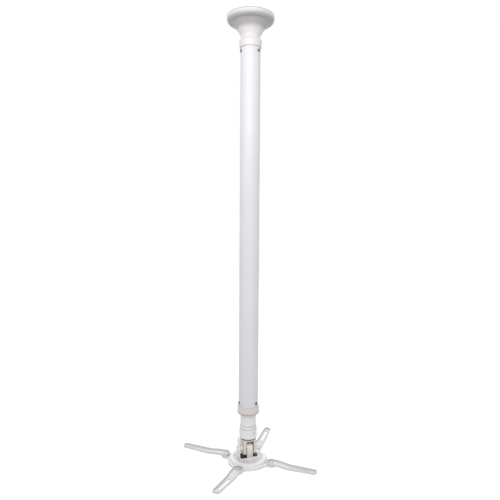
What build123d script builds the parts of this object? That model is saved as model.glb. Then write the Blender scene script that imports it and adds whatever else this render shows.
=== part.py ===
from build123d import *
import os
from math import acos, cos, degrees, radians, sin

os.makedirs("parts", exist_ok=True)

# A telescopic projector ceiling mount, retracted. Millimetres, +Z up.
# The origin is the centre of the face that lies against the ceiling, and the tilt pin runs along X.

# Play between pieces
SLIDE_GAP = 0.25
TURN_GAP = 0.1
FACE_GAP = 0.3
SCREW_GAP = 0.2
PUSH_FIT_GAP = 0.1

# Diameter of the outer tube, and the steps and walls that the pieces on it keep from it
OUTER_TUBE_DIAMETER = 50.0
TUBE_STEP = 5.0
NECK_STEP = 0.75
COLLAR_WALL = 3.6
COLLAR_END_STEP = 0.7
COLLAR_MOUTH_WALL = 2.1
CUP_WALL = 2.5

# Ceiling plate and the stub welded under it
CEILING_PLATE_DIAMETER = 100.0
CEILING_PLATE_THICKNESS = 3.0
CEILING_HOLE_DIAMETER = 6.5
CEILING_HOLE_CIRCLE_DIAMETER = 78.0
CEILING_HOLE_COUNT = 4
CEILING_PLATE_EDGE = 0.8
STUB_DIAMETER = OUTER_TUBE_DIAMETER - 2 * TUBE_STEP
STUB_WALL = 2.0
STUB_LENGTH = 112.0
WELD_SIZE = 3.0

# Canopy
CANOPY_DIAMETER = 118.0
CANOPY_HEIGHT = 57.0
CANOPY_WALL = 2.4
CANOPY_LIP_HEIGHT = 16.0
CANOPY_LIP_ROUND = 10.0
CANOPY_FLARE_BEND = 0.23
CANOPY_NECK_DIAMETER = OUTER_TUBE_DIAMETER - 2 * NECK_STEP
CANOPY_NECK_LENGTH = 7.0

# Outer tube and the two collars on its ends
OUTER_TUBE_WALL = 1.5
OUTER_TUBE_LENGTH = 930.0
COLLAR_DIAMETER = OUTER_TUBE_DIAMETER + 2 * COLLAR_WALL
COLLAR_END_DIAMETER = OUTER_TUBE_DIAMETER - 2 * COLLAR_END_STEP
COLLAR_MOUTH_DIAMETER = OUTER_TUBE_DIAMETER + 2 * COLLAR_MOUTH_WALL
COLLAR_HEIGHT = 19.5
COLLAR_SHOULDER = 4.0
COLLAR_END_WALL = 5.0
COLLAR_EDGE_ROUND = 0.9
COLLAR_MOUTH_GAP = 0.7
COLLAR_MOUTH_DEPTH = 2.0
SLEEVE_LENGTH = 47.0
TUBE_SCREW_OFFSET = 9.5
TUBE_SCREW_COUNT = 3
TUBE_SCREW_START_ANGLE = 60.0

# Button-head screws in the tubes
LOCK_SCREW_DIAMETER = 5.0
LOCK_HEAD_DIAMETER = 7.2
LOCK_HEAD_HEIGHT = 1.9
LOCK_SOCKET_WIDTH = 3.0
LOCK_SOCKET_DEPTH = 1.2

# Inner tube, with the length that shows below the lower collar, and what rides on it
INNER_TUBE_DIAMETER = OUTER_TUBE_DIAMETER - 2 * TUBE_STEP
INNER_TUBE_WALL = 1.5
MAST_SHOWN = 55.0
GLIDE_RING_LENGTH = 25.0
GLIDE_RING_INSET = 2.0
STOP_RING_HEIGHT = 7.4
STOP_RING_WALL = 1.2
PLUG_LENGTH = 15.0

# Swivel cup, its washer and its bolt
CUP_DIAMETER = INNER_TUBE_DIAMETER + 2 * CUP_WALL
CUP_HEIGHT = 24.0
CUP_FLOOR = 7.0
CUP_EDGE_ROUND = 1.4
CUP_SCREW_DIAMETER = 5.0
CUP_SCREW_SOCKET_WIDTH = 2.5
CUP_SCREW_SOCKET_DEPTH = 1.2
CUP_SCREW_INSET = 0.3
CUP_SCREW_HEIGHT = 9.0
CUP_SCREW_COUNT = 3
CUP_SCREW_START_ANGLE = -72.0
SWIVEL_WASHER_DIAMETER = 40.0
SWIVEL_WASHER_THICKNESS = 3.0
SWIVEL_BOLT_DIAMETER = 10.0
SWIVEL_HEAD_DIAMETER = 16.0
SWIVEL_HEAD_HEIGHT = 3.2
SWIVEL_SOCKET_WIDTH = 8.0
SWIVEL_SOCKET_DEPTH = 2.0

# Tilt hinge
CLEVIS_WIDTH = 34.0
CLEVIS_EDGE_ROUND = 1.2
WEB_THICKNESS = 6.0
KNUCKLE_RADIUS = 14.0
EAR_DROP = 14.7
EAR_ROUND = 5.0
HINGE_DROP = 18.5
TANG_THICKNESS = 16.5
TANG_EDGE_ROUND = 1.2
HINGE_WASHER_DIAMETER = 23.0
HINGE_WASHER_THICKNESS = 1.6
TILT_BOLT_DIAMETER = 8.0
TILT_HEAD_DIAMETER = 19.0
TILT_HEAD_HEIGHT = 2.5
TILT_CAP_FLOOR = 1.0
SPACER_DIAMETER = 14.0
CLEVIS_SCREW_DIAMETER = 5.0
CLEVIS_SCREW_HEAD = 9.4
CLEVIS_SCREW_LENGTH = 20.0
CLEVIS_SCREW_SPACING = 27.0
TANG_SCREW_DIAMETER = 6.0
TANG_SCREW_HEAD = 10.5
TANG_SCREW_HEAD_HEIGHT = 3.3
TANG_SCREW_GRIP = 12.0
TANG_SCREW_SPACING = 14.0
TANG_SOCKET_WIDTH = 4.0
TANG_SOCKET_DEPTH = 2.0

# Folded bracket with a tab for the tilt pin, and the notched pads under the ears
BRACKET_THICKNESS = 2.0
BRACKET_LENGTH = 28.0
BRACKET_BEND = 1.5
BRACKET_PIN_HEIGHT = 23.2
TAB_STANDOFF = 8.0
TAB_WIDTH = 10.0
TAB_EYE_RADIUS = 8.0
TAB_RISE = 29.5
TAB_ROUND = 3.0
PAD_SETBACK = 0.8
PAD_WIDTH = 14.0
PAD_LENGTH = 22.0
PAD_HEIGHT = 4.0
PAD_ROUND = 2.0
PAD_NOTCH_WIDTH = 3.4
PAD_NOTCH_HEIGHT = 2.5

# Base plate: a shallow tray, open below, with a raised middle
PLATE_THICKNESS = 2.5
PLATE_RADIUS = 52.5
PLATEAU_RADIUS = 46.5
PLATEAU_SLOPE = 2.0
PLATEAU_RISE = 7.0
PLATEAU_EDGE_ROUND = 2.2
SKIRT_HEIGHT = 6.5
SKIRT_WALL = 2.5
LOBE_MARGIN = 3.0
LOBE_BLEND = 12.0
PLATE_EDGE_ROUND = 1.2
RIB_COUNT = 36
RIB_INNER_RADIUS = 31.0
RIB_OUTER_RADIUS = 39.0
RIB_WIDTH = 1.4
RIB_HEIGHT = 0.7

# Arms and their pivots
PIVOT_RADIUS = 63.0
ARM_WIDTH = 27.0
ARM_TIP_WIDTH = 19.0
ARM_TIP_ROUND = 6.0
ARM_HEIGHT = 6.0
ARM_WALL = 2.0
ARM_EDGE_ROUND = 1.4
ARM_RIM_ROUND = 0.7
ARM_REACH = 122.0
ARM_ROOT = 11.0
ARM_DROP = 2.2
ARM_TIP_RISE = 4.4
ARM_BEND_START = 25.0
ARM_BEND_LENGTH = 20.0
ARM_BEND_ROUND = 60.0
SLOT_WIDTH = 6.2
SLOT_START = 50.0
SLOT_END = 105.0
PIVOT_SCREW_DIAMETER = 6.0
PIVOT_HEAD_DIAMETER = 11.0
PIVOT_HEAD_HEIGHT = 3.3
PIVOT_SOCKET_WIDTH = 4.0
PIVOT_SOCKET_DEPTH = 2.0
PIVOT_WASHER_DIAMETER = 15.0
PIVOT_WASHER_THICKNESS = 0.8
PIVOT_NUT_WIDTH = 10.0
PIVOT_NUT_HEIGHT = 2.8
PIVOT_SCREW_END = 0.4

# Direction of each arm's pivot about the mast, and how far the arm is swung from straight out
ARMS = {
    "arm_front_left": (-135.0, -2.0),
    "arm_front_right": (-45.0, -5.5),
    "arm_rear_left": (135.0, 2.0),
    "arm_rear_right": (45.0, 5.5),
}

# Radii worked out from the sizes above
stub_radius = STUB_DIAMETER / 2
canopy_radius = CANOPY_DIAMETER / 2
neck_radius = CANOPY_NECK_DIAMETER / 2
outer_tube_radius = OUTER_TUBE_DIAMETER / 2
outer_tube_bore = outer_tube_radius - OUTER_TUBE_WALL
inner_tube_radius = INNER_TUBE_DIAMETER / 2
inner_tube_bore = inner_tube_radius - INNER_TUBE_WALL
cup_radius = CUP_DIAMETER / 2
cup_bore = inner_tube_radius + FACE_GAP
swivel_bolt_radius = SWIVEL_BOLT_DIAMETER / 2
tilt_bolt_radius = TILT_BOLT_DIAMETER / 2
lobe_radius = PIVOT_WASHER_DIAMETER / 2 + LOBE_MARGIN

# Heights worked out from the sizes above, from the ceiling down
plate_bottom = -CEILING_PLATE_THICKNESS
stub_bottom = plate_bottom - STUB_LENGTH
canopy_bottom = -CANOPY_HEIGHT
outer_tube_top = canopy_bottom - COLLAR_END_WALL
outer_tube_bottom = outer_tube_top - OUTER_TUBE_LENGTH
bottom_collar_end = outer_tube_bottom - COLLAR_END_WALL
top_screw_level = canopy_bottom - COLLAR_HEIGHT - TUBE_SCREW_OFFSET
bottom_screw_level = bottom_collar_end + COLLAR_HEIGHT + TUBE_SCREW_OFFSET
inner_tube_top = stub_bottom - FACE_GAP
inner_tube_bottom = bottom_collar_end - MAST_SHOWN
cup_floor_top = inner_tube_bottom - FACE_GAP
cup_bottom = cup_floor_top - CUP_FLOOR
cup_top = cup_bottom + CUP_HEIGHT
web_top = cup_bottom - SWIVEL_WASHER_THICKNESS
web_bottom = web_top - WEB_THICKNESS
swivel_head_top = web_bottom - FACE_GAP
pin_level = web_bottom - HINGE_DROP
bracket_top = pin_level - BRACKET_PIN_HEIGHT
plateau_top = bracket_top - BRACKET_THICKNESS
plateau_bottom = plateau_top - PLATE_THICKNESS
lobe_top = plateau_top - PLATEAU_RISE
lobe_bottom = lobe_top - PLATE_THICKNESS
skirt_bottom = lobe_top - SKIRT_HEIGHT
arm_bottom = lobe_top + PIVOT_WASHER_THICKNESS + TURN_GAP
pivot_head_bottom = arm_bottom + ARM_WALL + FACE_GAP

# Places across the hinge, from the middle outwards along X
tang_face = TANG_THICKNESS / 2
washer_face = tang_face + HINGE_WASHER_THICKNESS
ear_inner_face = washer_face + SCREW_GAP
ear_outer_face = CLEVIS_WIDTH / 2
tab_inner_face = ear_outer_face + TAB_STANDOFF
tab_outer_face = tab_inner_face + BRACKET_THICKNESS
cap_face = ear_outer_face + SCREW_GAP


def angles_around(count, start):
    """The angles of a ring of equal steps."""
    return [start + step * 360 / count for step in range(count)]


def radial_planes(radius, level, angles):
    """Planes that face outwards from the mast's axis, at one height."""
    planes = []
    for angle in angles:
        outward = Vector(cos(radians(angle)), sin(radians(angle)), 0)
        planes.append(Plane(origin=outward * radius + Vector(0, 0, level), x_dir=(0, 0, 1), z_dir=outward))
    return planes


def tube(outer_radius, inner_radius, top, bottom):
    """A plain tube about the mast's axis."""
    with BuildPart() as body:
        with BuildSketch(Plane.XY.offset(bottom)):
            Circle(outer_radius)
            Circle(inner_radius, mode=Mode.SUBTRACT)
        extrude(amount=top - bottom)
    return body


def button_screw(diameter, length, head_diameter, head_height, socket_width, socket_depth):
    """A button-head screw along Z, with the seat of its head at z = 0."""
    with BuildPart() as screw:
        with BuildSketch(Plane.XZ):
            with BuildLine():
                crown = head_diameter / 2 - head_height * 0.7
                Line((0, head_height), (crown, head_height))
                ThreePointArc(
                    (crown, head_height),
                    (head_diameter / 2 - head_height * 0.2, head_height * 0.7),
                    (head_diameter / 2, 0),
                )
                Polyline(
                    (head_diameter / 2, 0),
                    (diameter / 2, 0),
                    (diameter / 2, -length),
                    (0, -length),
                    (0, head_height),
                )
            make_face()
        revolve(axis=Axis.Z)
        with BuildSketch(Plane.XY.offset(head_height)):
            RegularPolygon(socket_width / 2, 6, major_radius=False)
        extrude(amount=-socket_depth, mode=Mode.SUBTRACT)
    return screw.part


def collar(end_level, way, bore_radius, screw_level):
    """A collar on one end of the outer tube, with its sleeve inside the tube. way is +1 if the tube is above."""
    end_radius = COLLAR_END_DIAMETER / 2
    body_radius = COLLAR_DIAMETER / 2
    mouth_radius = COLLAR_MOUTH_DIAMETER / 2
    flare = body_radius - end_radius
    sleeve_end = COLLAR_END_WALL + SLEEVE_LENGTH

    def at(radius, rise):
        return (radius, end_level + way * rise)

    with BuildPart() as body:
        with BuildSketch(Plane.XZ):
            with BuildLine():
                Line(at(bore_radius, 0), at(end_radius, 0))
                ThreePointArc(
                    at(end_radius, 0),
                    at(end_radius + flare * sin(radians(45)), COLLAR_SHOULDER * (1 - cos(radians(45)))),
                    at(body_radius, COLLAR_SHOULDER),
                )
                Line(at(body_radius, COLLAR_SHOULDER), at(mouth_radius, COLLAR_HEIGHT - COLLAR_EDGE_ROUND))
                ThreePointArc(
                    at(mouth_radius, COLLAR_HEIGHT - COLLAR_EDGE_ROUND),
                    at(
                        mouth_radius - COLLAR_EDGE_ROUND * (1 - cos(radians(45))),
                        COLLAR_HEIGHT - COLLAR_EDGE_ROUND * (1 - sin(radians(45))),
                    ),
                    at(mouth_radius - COLLAR_EDGE_ROUND, COLLAR_HEIGHT),
                )
                Polyline(
                    at(mouth_radius - COLLAR_EDGE_ROUND, COLLAR_HEIGHT),
                    at(outer_tube_radius + COLLAR_MOUTH_GAP, COLLAR_HEIGHT),
                    at(outer_tube_radius + COLLAR_MOUTH_GAP, COLLAR_HEIGHT - COLLAR_MOUTH_DEPTH),
                    at(outer_tube_radius + PUSH_FIT_GAP, COLLAR_HEIGHT - COLLAR_MOUTH_DEPTH),
                    at(outer_tube_radius + PUSH_FIT_GAP, COLLAR_END_WALL),
                    at(outer_tube_bore - PUSH_FIT_GAP, COLLAR_END_WALL),
                    at(outer_tube_bore - PUSH_FIT_GAP, sleeve_end),
                    at(bore_radius, sleeve_end),
                    at(bore_radius, 0),
                )
            make_face()
        revolve(axis=Axis.Z)
        with Locations(*radial_planes(outer_tube_radius, screw_level, tube_screw_angles)):
            Cylinder(LOCK_SCREW_DIAMETER / 2 + SCREW_GAP, OUTER_TUBE_DIAMETER / 2, mode=Mode.SUBTRACT)
    return body


tube_screw_angles = angles_around(TUBE_SCREW_COUNT, TUBE_SCREW_START_ANGLE)
cup_screw_angles = angles_around(CUP_SCREW_COUNT, CUP_SCREW_START_ANGLE)

# Ceiling plate
with BuildPart() as ceiling_plate:
    with BuildSketch(Plane.XY.offset(plate_bottom)):
        Circle(CEILING_PLATE_DIAMETER / 2)
        with PolarLocations(CEILING_HOLE_CIRCLE_DIAMETER / 2, CEILING_HOLE_COUNT, start_angle=45):
            Circle(CEILING_HOLE_DIAMETER / 2, mode=Mode.SUBTRACT)
    extrude(amount=CEILING_PLATE_THICKNESS)
    chamfer(ceiling_plate.faces().sort_by(Axis.Z)[0].outer_wire().edges(), length=CEILING_PLATE_EDGE)
ceiling_plate.part.label = "ceiling_plate"
export_step(ceiling_plate.part, "parts/ceiling_plate.step")

# Stub tube with its weld bead, drilled for the tube's screws
with BuildPart() as stub_tube:
    with BuildSketch(Plane.XZ):
        with BuildLine():
            Polyline(
                (stub_radius - STUB_WALL, plate_bottom),
                (stub_radius + WELD_SIZE, plate_bottom),
                (stub_radius, plate_bottom - WELD_SIZE),
                (stub_radius, stub_bottom),
                (stub_radius - STUB_WALL, stub_bottom),
                close=True,
            )
        make_face()
    revolve(axis=Axis.Z)
    with Locations(*radial_planes(stub_radius, top_screw_level, tube_screw_angles)):
        Cylinder(LOCK_SCREW_DIAMETER / 2 + SCREW_GAP, STUB_WALL * 3, mode=Mode.SUBTRACT)
stub_tube.part.label = "stub_tube"
export_step(stub_tube.part, "parts/stub_tube.step")


def canopy_flare(lip_radius, lip_level, end_radius, end_level):
    """The curve from the lip, where it starts level, to the neck, where it ends upright."""
    width = lip_radius - end_radius
    height = lip_level - end_level
    Bezier(
        (lip_radius, lip_level),
        (lip_radius - CANOPY_FLARE_BEND * width, lip_level),
        (end_radius, end_level + CANOPY_FLARE_BEND * height),
        (end_radius, end_level),
    )


# Canopy: a thin bell with a rounded lip against the ceiling, drawn in to a narrow neck
with BuildPart() as canopy_cover:
    lip_centre = canopy_radius - CANOPY_LIP_ROUND
    flare_end = canopy_bottom + CANOPY_NECK_LENGTH
    inner_round = CANOPY_LIP_ROUND - CANOPY_WALL
    round_level = -CANOPY_LIP_HEIGHT + CANOPY_LIP_ROUND
    with BuildSketch(Plane.XZ):
        with BuildLine():
            Line((canopy_radius, 0), (canopy_radius, round_level))
            CenterArc((lip_centre, round_level), CANOPY_LIP_ROUND, 0, -90)
            canopy_flare(lip_centre, -CANOPY_LIP_HEIGHT, neck_radius, flare_end)
            Polyline(
                (neck_radius, flare_end),
                (neck_radius, canopy_bottom),
                (neck_radius - CANOPY_WALL, canopy_bottom),
                (neck_radius - CANOPY_WALL, flare_end),
            )
            canopy_flare(lip_centre, CANOPY_WALL - CANOPY_LIP_HEIGHT, neck_radius - CANOPY_WALL, flare_end)
            CenterArc((lip_centre, round_level), inner_round, 0, -90)
            Polyline((lip_centre + inner_round, round_level), (lip_centre + inner_round, 0), (canopy_radius, 0))
        make_face()
    revolve(axis=Axis.Z)
canopy_cover.part.label = "canopy_cover"
export_step(canopy_cover.part, "parts/canopy_cover.step")

# Collars on the two ends of the outer tube
top_collar = collar(canopy_bottom, -1, stub_radius + SLIDE_GAP, top_screw_level)
top_collar.part.label = "top_collar"
export_step(top_collar.part, "parts/top_collar.step")

bottom_collar = collar(bottom_collar_end, 1, inner_tube_radius + SLIDE_GAP, bottom_screw_level)
bottom_collar.part.label = "bottom_collar"
export_step(bottom_collar.part, "parts/bottom_collar.step")

# Outer tube, drilled at both ends
with BuildPart() as outer_tube:
    add(tube(outer_tube_radius, outer_tube_bore, outer_tube_top, outer_tube_bottom).part)
    for level in (top_screw_level, bottom_screw_level):
        with Locations(*radial_planes(outer_tube_radius, level, tube_screw_angles)):
            Cylinder(LOCK_SCREW_DIAMETER / 2 + SCREW_GAP, OUTER_TUBE_WALL * 4, mode=Mode.SUBTRACT)
outer_tube.part.label = "outer_tube"
export_step(outer_tube.part, "parts/outer_tube.step")

# Screws of the outer tube: the upper ones enter the stub, the lower ones clamp the inner tube
top_screw = button_screw(
    LOCK_SCREW_DIAMETER,
    outer_tube_radius - stub_radius + STUB_WALL,
    LOCK_HEAD_DIAMETER,
    LOCK_HEAD_HEIGHT,
    LOCK_SOCKET_WIDTH,
    LOCK_SOCKET_DEPTH,
)
with BuildPart() as top_screws:
    with Locations(*radial_planes(outer_tube_radius, top_screw_level, tube_screw_angles)):
        add(top_screw)
top_screws.part.label = "top_screws"
export_step(top_screws.part, "parts/top_screws.step")

bottom_screw = button_screw(
    LOCK_SCREW_DIAMETER,
    outer_tube_radius - inner_tube_radius - FACE_GAP,
    LOCK_HEAD_DIAMETER,
    LOCK_HEAD_HEIGHT,
    LOCK_SOCKET_WIDTH,
    LOCK_SOCKET_DEPTH,
)
with BuildPart() as bottom_screws:
    with Locations(*radial_planes(outer_tube_radius, bottom_screw_level, tube_screw_angles)):
        add(bottom_screw)
bottom_screws.part.label = "bottom_screws"
export_step(bottom_screws.part, "parts/bottom_screws.step")

# Inner tube, with a glide ring at its upper end and a stop ring above the cup
inner_tube = tube(inner_tube_radius, inner_tube_bore, inner_tube_top, inner_tube_bottom)
inner_tube.part.label = "inner_tube"
export_step(inner_tube.part, "parts/inner_tube.step")

glide_ring_top = inner_tube_top - GLIDE_RING_INSET
glide_ring = tube(
    outer_tube_bore - SLIDE_GAP, inner_tube_radius, glide_ring_top, glide_ring_top - GLIDE_RING_LENGTH
)
glide_ring.part.label = "glide_ring"
export_step(glide_ring.part, "parts/glide_ring.step")

stop_ring_bottom = cup_top + FACE_GAP
stop_ring = tube(
    inner_tube_radius + STOP_RING_WALL,
    inner_tube_radius,
    stop_ring_bottom + STOP_RING_HEIGHT,
    stop_ring_bottom,
)
stop_ring.part.label = "stop_ring"
export_step(stop_ring.part, "parts/stop_ring.step")

# Plug in the lower end of the inner tube, which holds the swivel bolt
end_plug = tube(inner_tube_bore, swivel_bolt_radius, inner_tube_bottom + PLUG_LENGTH, inner_tube_bottom)
end_plug.part.label = "end_plug"
export_step(end_plug.part, "parts/end_plug.step")

with BuildPart() as swivel_bolt:
    with BuildSketch(Plane.XY.offset(swivel_head_top - SWIVEL_HEAD_HEIGHT)):
        Circle(SWIVEL_HEAD_DIAMETER / 2)
        RegularPolygon(SWIVEL_SOCKET_WIDTH / 2, 6, major_radius=False, mode=Mode.SUBTRACT)
    extrude(amount=SWIVEL_SOCKET_DEPTH)
    with BuildSketch(Plane.XY.offset(swivel_head_top - SWIVEL_HEAD_HEIGHT + SWIVEL_SOCKET_DEPTH)):
        Circle(SWIVEL_HEAD_DIAMETER / 2)
    extrude(amount=SWIVEL_HEAD_HEIGHT - SWIVEL_SOCKET_DEPTH)
    with BuildSketch(Plane.XY.offset(swivel_head_top)):
        Circle(swivel_bolt_radius)
    extrude(amount=inner_tube_bottom + PLUG_LENGTH - swivel_head_top)
swivel_bolt.part.label = "swivel_bolt"
export_step(swivel_bolt.part, "parts/swivel_bolt.step")

# Swivel cup over the end of the inner tube
cup_screw_level = cup_top - CUP_SCREW_HEIGHT
clevis_screw_seats = [(side * CLEVIS_SCREW_SPACING / 2, 0, cup_floor_top) for side in (-1, 1)]
with BuildPart() as swivel_cup:
    with BuildSketch(Plane.XY.offset(cup_bottom)):
        Circle(cup_radius)
        Circle(swivel_bolt_radius + TURN_GAP, mode=Mode.SUBTRACT)
        with GridLocations(CLEVIS_SCREW_SPACING, 1, 2, 1):
            Circle(CLEVIS_SCREW_DIAMETER / 2 + SCREW_GAP, mode=Mode.SUBTRACT)
    extrude(amount=CUP_FLOOR)
    with BuildSketch(Plane.XY.offset(cup_floor_top)):
        Circle(cup_radius)
        Circle(cup_bore, mode=Mode.SUBTRACT)
    extrude(amount=CUP_HEIGHT - CUP_FLOOR)
    rims = swivel_cup.edges().filter_by(GeomType.CIRCLE)
    rims = rims.filter_by(lambda edge: abs(edge.radius - cup_radius) < 0.01)
    fillet(rims.group_by(Axis.Z)[0] + rims.group_by(Axis.Z)[-1], radius=CUP_EDGE_ROUND)
    with Locations(*radial_planes(cup_radius, cup_screw_level, cup_screw_angles)):
        Cylinder(CUP_SCREW_DIAMETER / 2, (cup_radius - cup_bore) * 3, mode=Mode.SUBTRACT)
    with Locations(*clevis_screw_seats):
        Cone(
            CLEVIS_SCREW_DIAMETER / 2 + SCREW_GAP,
            CLEVIS_SCREW_HEAD / 2 + SCREW_GAP,
            (CLEVIS_SCREW_HEAD - CLEVIS_SCREW_DIAMETER) / 2,
            align=(Align.CENTER, Align.CENTER, Align.MAX),
            mode=Mode.SUBTRACT,
        )
swivel_cup.part.label = "swivel_cup"
export_step(swivel_cup.part, "parts/swivel_cup.step")

# Headless screws in the cup's wall, sunk just below its face
cup_screw_face = cup_radius - CUP_SCREW_INSET
with BuildPart() as cup_screws:
    for plane in radial_planes(cup_screw_face, cup_screw_level, cup_screw_angles):
        with BuildSketch(plane):
            Circle(CUP_SCREW_DIAMETER / 2)
        extrude(amount=cup_bore - cup_screw_face)
        with BuildSketch(plane):
            RegularPolygon(CUP_SCREW_SOCKET_WIDTH / 2, 6, major_radius=False)
        extrude(amount=-CUP_SCREW_SOCKET_DEPTH, mode=Mode.SUBTRACT)
cup_screws.part.label = "cup_screws"
export_step(cup_screws.part, "parts/cup_screws.step")

with BuildPart() as swivel_washer:
    with BuildSketch(Plane.XY.offset(web_top)):
        Circle(SWIVEL_WASHER_DIAMETER / 2)
        Circle(swivel_bolt_radius + TURN_GAP, mode=Mode.SUBTRACT)
        with GridLocations(CLEVIS_SCREW_SPACING, 1, 2, 1):
            Circle(CLEVIS_SCREW_DIAMETER / 2 + SCREW_GAP, mode=Mode.SUBTRACT)
    extrude(amount=SWIVEL_WASHER_THICKNESS)
swivel_washer.part.label = "swivel_washer"
export_step(swivel_washer.part, "parts/swivel_washer.step")

# Clevis: a web under the cup and two ears with rounded lower corners
with BuildPart() as hinge_clevis:
    ear_bottom = pin_level - EAR_DROP
    with BuildSketch(Plane.YZ) as ear_view:
        with Locations((0, ear_bottom)):
            Rectangle(2 * KNUCKLE_RADIUS, web_top - ear_bottom, align=(Align.CENTER, Align.MIN))
        fillet(ear_view.vertices().group_by(Axis.Y)[0], radius=EAR_ROUND)
    extrude(amount=ear_outer_face, both=True)
    fillet(hinge_clevis.edges().filter_by(Axis.Z), radius=CLEVIS_EDGE_ROUND)
    with BuildSketch(Plane.XZ):
        with Locations((0, web_bottom)):
            Rectangle(2 * ear_inner_face, HINGE_DROP + 2 * EAR_DROP, align=(Align.CENTER, Align.MAX))
    extrude(amount=2 * KNUCKLE_RADIUS, both=True, mode=Mode.SUBTRACT)
    with Locations(Location((0, 0, pin_level), (0, 90, 0))):
        Cylinder(tilt_bolt_radius + TURN_GAP, 2 * CLEVIS_WIDTH, mode=Mode.SUBTRACT)
    with Locations((0, 0, web_top)):
        Cylinder(swivel_bolt_radius + TURN_GAP, 3 * WEB_THICKNESS, mode=Mode.SUBTRACT)
    screw_end = cup_floor_top - CLEVIS_SCREW_LENGTH
    with BuildSketch(Plane.XY.offset(screw_end)):
        with GridLocations(CLEVIS_SCREW_SPACING, 1, 2, 1):
            Circle(CLEVIS_SCREW_DIAMETER / 2)
    extrude(amount=web_top - screw_end, mode=Mode.SUBTRACT)
hinge_clevis.part.label = "hinge_clevis"
export_step(hinge_clevis.part, "parts/hinge_clevis.step")

# Countersunk screws from inside the cup into the ears
with BuildPart() as clevis_screws:
    with Locations(*clevis_screw_seats):
        Cone(
            CLEVIS_SCREW_DIAMETER / 2,
            CLEVIS_SCREW_HEAD / 2,
            (CLEVIS_SCREW_HEAD - CLEVIS_SCREW_DIAMETER) / 2,
            align=(Align.CENTER, Align.CENTER, Align.MAX),
        )
        Cylinder(CLEVIS_SCREW_DIAMETER / 2, CLEVIS_SCREW_LENGTH, align=(Align.CENTER, Align.CENTER, Align.MAX))
clevis_screws.part.label = "clevis_screws"
export_step(clevis_screws.part, "parts/clevis_screws.step")

# Tang: the tongue between the ears, standing on the bracket
tang_screw_places = [(0, -TANG_SCREW_SPACING / 2), (0, TANG_SCREW_SPACING / 2)]
with BuildPart() as hinge_tang:
    with BuildSketch(Plane.YZ):
        with Locations((0, pin_level)):
            Circle(KNUCKLE_RADIUS)
            Rectangle(2 * KNUCKLE_RADIUS, BRACKET_PIN_HEIGHT, align=(Align.CENTER, Align.MAX))
        with Locations((0, pin_level)):
            Circle(tilt_bolt_radius + TURN_GAP, mode=Mode.SUBTRACT)
    extrude(amount=tang_face, both=True)
    fillet(hinge_tang.edges().filter_by(Axis.Z), radius=TANG_EDGE_ROUND)
    with BuildSketch(Plane.XY.offset(bracket_top)):
        with Locations(*tang_screw_places):
            Circle(TANG_SCREW_DIAMETER / 2)
    extrude(amount=TANG_SCREW_GRIP, mode=Mode.SUBTRACT)
hinge_tang.part.label = "hinge_tang"
export_step(hinge_tang.part, "parts/hinge_tang.step")

tang_screw = button_screw(
    TANG_SCREW_DIAMETER,
    PLATE_THICKNESS + BRACKET_THICKNESS + TANG_SCREW_GRIP,
    TANG_SCREW_HEAD,
    TANG_SCREW_HEAD_HEIGHT,
    TANG_SOCKET_WIDTH,
    TANG_SOCKET_DEPTH,
)
with BuildPart() as tang_screws:
    with Locations(*[Location((x, y, plateau_bottom), (180, 0, 0)) for x, y in tang_screw_places]):
        add(tang_screw)
tang_screws.part.label = "tang_screws"
export_step(tang_screws.part, "parts/tang_screws.step")

# Friction washers on both sides of the tang
with BuildPart() as hinge_washers:
    for side in (-1, 1):
        with BuildSketch(Plane.YZ.offset(side * tang_face)):
            with Locations((0, pin_level)):
                Circle(HINGE_WASHER_DIAMETER / 2)
                Circle(tilt_bolt_radius + TURN_GAP, mode=Mode.SUBTRACT)
        extrude(amount=side * HINGE_WASHER_THICKNESS)
hinge_washers.part.label = "hinge_washers"
export_step(hinge_washers.part, "parts/hinge_washers.step")

# Notched pads under the ears
pad_place = tang_face + PAD_SETBACK + PAD_WIDTH / 2
with BuildPart() as hinge_pads:
    with BuildSketch(Plane.XY.offset(bracket_top)):
        with GridLocations(2 * pad_place, 1, 2, 1):
            RectangleRounded(PAD_WIDTH, PAD_LENGTH, PAD_ROUND)
    extrude(amount=PAD_HEIGHT)
    with BuildSketch(Plane.XZ):
        with Locations((-pad_place, bracket_top), (pad_place, bracket_top)):
            Rectangle(PAD_NOTCH_WIDTH, PAD_NOTCH_HEIGHT, align=(Align.CENTER, Align.MIN))
    extrude(amount=PAD_LENGTH, both=True, mode=Mode.SUBTRACT)
hinge_pads.part.label = "hinge_pads"
export_step(hinge_pads.part, "parts/hinge_pads.step")

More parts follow.
